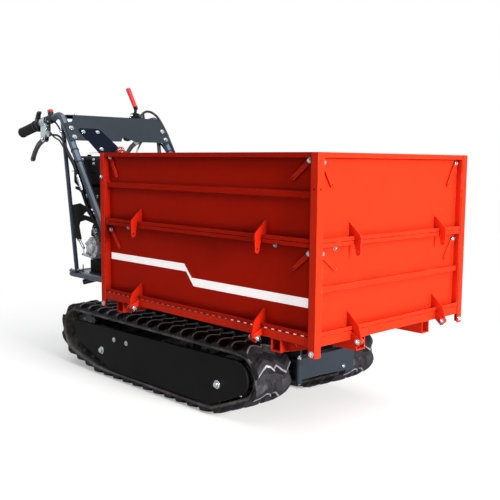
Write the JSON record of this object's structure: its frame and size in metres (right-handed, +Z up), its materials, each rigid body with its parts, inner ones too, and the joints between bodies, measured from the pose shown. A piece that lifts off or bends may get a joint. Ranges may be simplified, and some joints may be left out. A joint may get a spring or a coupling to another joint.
{
  "type": "power wheelbarrow",
  "caption": "Walk-behind tracked mini dumper: rubber crawler tracks, tipping steel flat bed with fold-down two-tier sides, rear engine, console and handlebars with levers",
  "frame": {"origin": "on the ground, at the middle of the machine's overall footprint", "axes": "+Z up; +Y towards the operator's handles, -Y towards the dumping end; +X to the right when looking along +Y from the dumping end"},
  "size_m": [0.829, 1.9422, 1.185],
  "materials": {
    "red_paint": "satin powder coat, bright orange-red",
    "slate_paint": "satin powder coat, slate blue-grey",
    "black_paint": "matte black powder coat",
    "navy_paint": "satin navy-black paint",
    "track_rubber": "moulded rubber with dusty, scuffed lug edges",
    "cast_iron": "as cast, lightly oiled",
    "cast_aluminium": "die-cast, slightly rough",
    "black_plastic": "fine-textured black plastic",
    "grip_rubber": "soft ribbed black rubber",
    "zinc": "bright zinc plate",
    "red_plastic": "glossy red plastic"
  },
  "bodies": {
    "chassis": {"chassis_frame": "slate_paint", "front_guard": "slate_paint", "left_track_frame": "black_paint", "right_track_frame": "black_paint", "left_side_cover": "black_paint", "right_side_cover": "black_paint", "left_track_belt": "track_rubber", "right_track_belt": "track_rubber", "engine_platform": "slate_paint", "gearbox": "cast_aluminium", "engine_block": "cast_aluminium", "drive_housing": "cast_aluminium", "recoil_cover": "black_plastic", "fuel_tank": "black_plastic", "muffler_guard": "black_paint", "console_plate": "slate_paint", "tank_bracket": "navy_paint", "left_handle_tube": "slate_paint", "right_handle_tube": "slate_paint", "left_grip": "grip_rubber", "right_grip": "grip_rubber", "left_lever_bracket": "zinc", "right_lever_bracket": "zinc", "clutch_lever_bracket": "black_paint", "stop_switch_body": "black_plastic"},
    "tipping_bed": {"bed_frame": "red_paint", "bed_floor": "red_paint", "front_left_post": "red_paint", "front_right_post": "red_paint", "rear_left_post": "red_paint", "rear_right_post": "red_paint", "rear_headboard": "red_paint"},
    "left_side": {"left_lower_side": "red_paint", "left_upper_side": "red_paint"},
    "right_side": {"right_lower_side": "red_paint", "right_upper_side": "red_paint"},
    "front_side": {"front_lower_side": "red_paint", "front_upper_side": "red_paint"},
    "left_drive_sprocket_body": {"left_drive_sprocket": "cast_iron"},
    "right_drive_sprocket_body": {"right_drive_sprocket": "cast_iron"},
    "left_idler_wheel_body": {"left_idler_wheel": "cast_iron"},
    "right_idler_wheel_body": {"right_idler_wheel": "cast_iron"},
    "left_front_road_roller_body": {"left_front_road_roller": "cast_iron"},
    "right_front_road_roller_body": {"right_front_road_roller": "cast_iron"},
    "left_rear_road_roller_body": {"left_rear_road_roller": "cast_iron"},
    "right_rear_road_roller_body": {"right_rear_road_roller": "cast_iron"},
    "left_front_latch_body": {"left_front_latch": "red_paint"},
    "left_rear_latch_body": {"left_rear_latch": "red_paint"},
    "right_front_latch_body": {"right_front_latch": "red_paint"},
    "right_rear_latch_body": {"right_rear_latch": "red_paint"},
    "front_left_latch_body": {"front_left_latch": "red_paint"},
    "front_right_latch_body": {"front_right_latch": "red_paint"},
    "left_brake_lever_body": {"left_brake_lever": "zinc"},
    "right_brake_lever_body": {"right_brake_lever": "zinc"},
    "clutch_lever_body": {"clutch_lever": "red_plastic"},
    "gear_lever_body": {"gear_lever": "black_plastic"},
    "throttle_lever_body": {"throttle_lever": "black_plastic"},
    "stop_button_body": {"stop_button": "red_plastic"},
    "starter_handle_body": {"starter_handle": "black_plastic"},
    "fuel_cap_body": {"fuel_cap": "red_plastic"}
  },
  "joints": [
    {"name": "bed_tip", "type": "hinge", "parent": "chassis", "child": "tipping_bed", "pos_m": [0, -0.6366, 0.28], "axis": [1, 0, 0], "range_deg": [0, 45]},
    {"name": "left_side_fold", "type": "hinge", "parent": "tipping_bed", "child": "left_side", "pos_m": [-0.405, -0.4066, 0.342], "axis": [0, -1, 0], "range_deg": [0, 95]},
    {"name": "right_side_fold", "type": "hinge", "parent": "tipping_bed", "child": "right_side", "pos_m": [0.405, -0.4066, 0.342], "axis": [0, 1, 0], "range_deg": [0, 95]},
    {"name": "front_side_fold", "type": "hinge", "parent": "tipping_bed", "child": "front_side", "pos_m": [0, -0.9616, 0.342], "axis": [1, 0, 0], "range_deg": [0, 95]},
    {"name": "left_front_latch_turn", "type": "hinge", "parent": "left_side", "child": "left_front_latch_body", "pos_m": [-0.3614, -0.8951, 0.603], "axis": [-1, 0, 0], "range_deg": [0, 50]},
    {"name": "left_rear_latch_turn", "type": "hinge", "parent": "left_side", "child": "left_rear_latch_body", "pos_m": [-0.3614, 0.0819, 0.603], "axis": [1, 0, 0], "range_deg": [0, 35]},
    {"name": "right_front_latch_turn", "type": "hinge", "parent": "right_side", "child": "right_front_latch_body", "pos_m": [0.3614, -0.8951, 0.603], "axis": [-1, 0, 0], "range_deg": [0, 50]},
    {"name": "right_rear_latch_turn", "type": "hinge", "parent": "right_side", "child": "right_rear_latch_body", "pos_m": [0.3614, 0.0819, 0.603], "axis": [1, 0, 0], "range_deg": [0, 35]},
    {"name": "front_left_latch_turn", "type": "hinge", "parent": "front_side", "child": "front_left_latch_body", "pos_m": [-0.3385, -0.918, 0.603], "axis": [0, 1, 0], "range_deg": [0, 50]},
    {"name": "front_right_latch_turn", "type": "hinge", "parent": "front_side", "child": "front_right_latch_body", "pos_m": [0.3385, -0.918, 0.603], "axis": [0, -1, 0], "range_deg": [0, 35]},
    {"name": "left_sprocket_spin", "type": "hinge", "parent": "chassis", "child": "left_drive_sprocket_body", "pos_m": [-0.225, 0.4554, 0.15], "axis": [1, 0, 0], "continuous": true},
    {"name": "left_idler_spin", "type": "hinge", "parent": "chassis", "child": "left_idler_wheel_body", "pos_m": [-0.225, -0.5426, 0.163], "axis": [1, 0, 0], "continuous": true},
    {"name": "left_front_roller_spin", "type": "hinge", "parent": "chassis", "child": "left_front_road_roller_body", "pos_m": [-0.225, -0.3966, 0.067], "axis": [1, 0, 0], "continuous": true},
    {"name": "left_rear_roller_spin", "type": "hinge", "parent": "chassis", "child": "left_rear_road_roller_body", "pos_m": [-0.225, 0.2934, 0.067], "axis": [1, 0, 0], "continuous": true},
    {"name": "left_brake_squeeze", "type": "hinge", "parent": "chassis", "child": "left_brake_lever_body", "pos_m": [-0.248, 0.7654, 0.948], "axis": [1, 0, 0], "range_deg": [0, 22]},
    {"name": "right_sprocket_spin", "type": "hinge", "parent": "chassis", "child": "right_drive_sprocket_body", "pos_m": [0.225, 0.4554, 0.15], "axis": [1, 0, 0], "continuous": true},
    {"name": "right_idler_spin", "type": "hinge", "parent": "chassis", "child": "right_idler_wheel_body", "pos_m": [0.225, -0.5426, 0.163], "axis": [1, 0, 0], "continuous": true},
    {"name": "right_front_roller_spin", "type": "hinge", "parent": "chassis", "child": "right_front_road_roller_body", "pos_m": [0.225, -0.3966, 0.067], "axis": [1, 0, 0], "continuous": true},
    {"name": "right_rear_roller_spin", "type": "hinge", "parent": "chassis", "child": "right_rear_road_roller_body", "pos_m": [0.225, 0.2934, 0.067], "axis": [1, 0, 0], "continuous": true},
    {"name": "right_brake_squeeze", "type": "hinge", "parent": "chassis", "child": "right_brake_lever_body", "pos_m": [0.248, 0.7654, 0.948], "axis": [1, 0, 0], "range_deg": [0, 22]},
    {"name": "clutch_throw", "type": "hinge", "parent": "chassis", "child": "clutch_lever_body", "pos_m": [0.125, 0.6134, 1.06], "axis": [1, 0, 0], "range_deg": [0, 35]},
    {"name": "gear_shift", "type": "hinge", "parent": "chassis", "child": "gear_lever_body", "pos_m": [0.055, 0.5784, 0.955], "axis": [1, 0, 0], "range_deg": [-8, 8]},
    {"name": "throttle_swing", "type": "hinge", "parent": "chassis", "child": "throttle_lever_body", "pos_m": [-0.248, 0.82066, 1.03422], "axis": [-1, 0, 0], "range_deg": [0, 30]},
    {"name": "stop_button_press", "type": "slide", "parent": "chassis", "child": "stop_button_body", "axis": [0, -0.2024, -0.9793], "range_m": [0, 0.003]},
    {"name": "starter_pull", "type": "slide", "parent": "chassis", "child": "starter_handle_body", "axis": [0, 1, 0], "range_m": [0, 0.3]},
    {"name": "fuel_cap_unscrew", "type": "hinge", "parent": "chassis", "child": "fuel_cap_body", "pos_m": [-0.075, 0.4384, 0.8865], "axis": [0, 0, 1], "range_deg": [0, 120]}
  ],
  "couplings": [
    {"joint": "left_idler_spin", "follows": "left_sprocket_spin", "ratio": 1.2},
    {"joint": "left_front_roller_spin", "follows": "left_sprocket_spin", "ratio": 2.4},
    {"joint": "left_rear_roller_spin", "follows": "left_sprocket_spin", "ratio": 2.4},
    {"joint": "right_idler_spin", "follows": "right_sprocket_spin", "ratio": 1.2},
    {"joint": "right_front_roller_spin", "follows": "right_sprocket_spin", "ratio": 2.4},
    {"joint": "right_rear_roller_spin", "follows": "right_sprocket_spin", "ratio": 2.4}
  ]
}
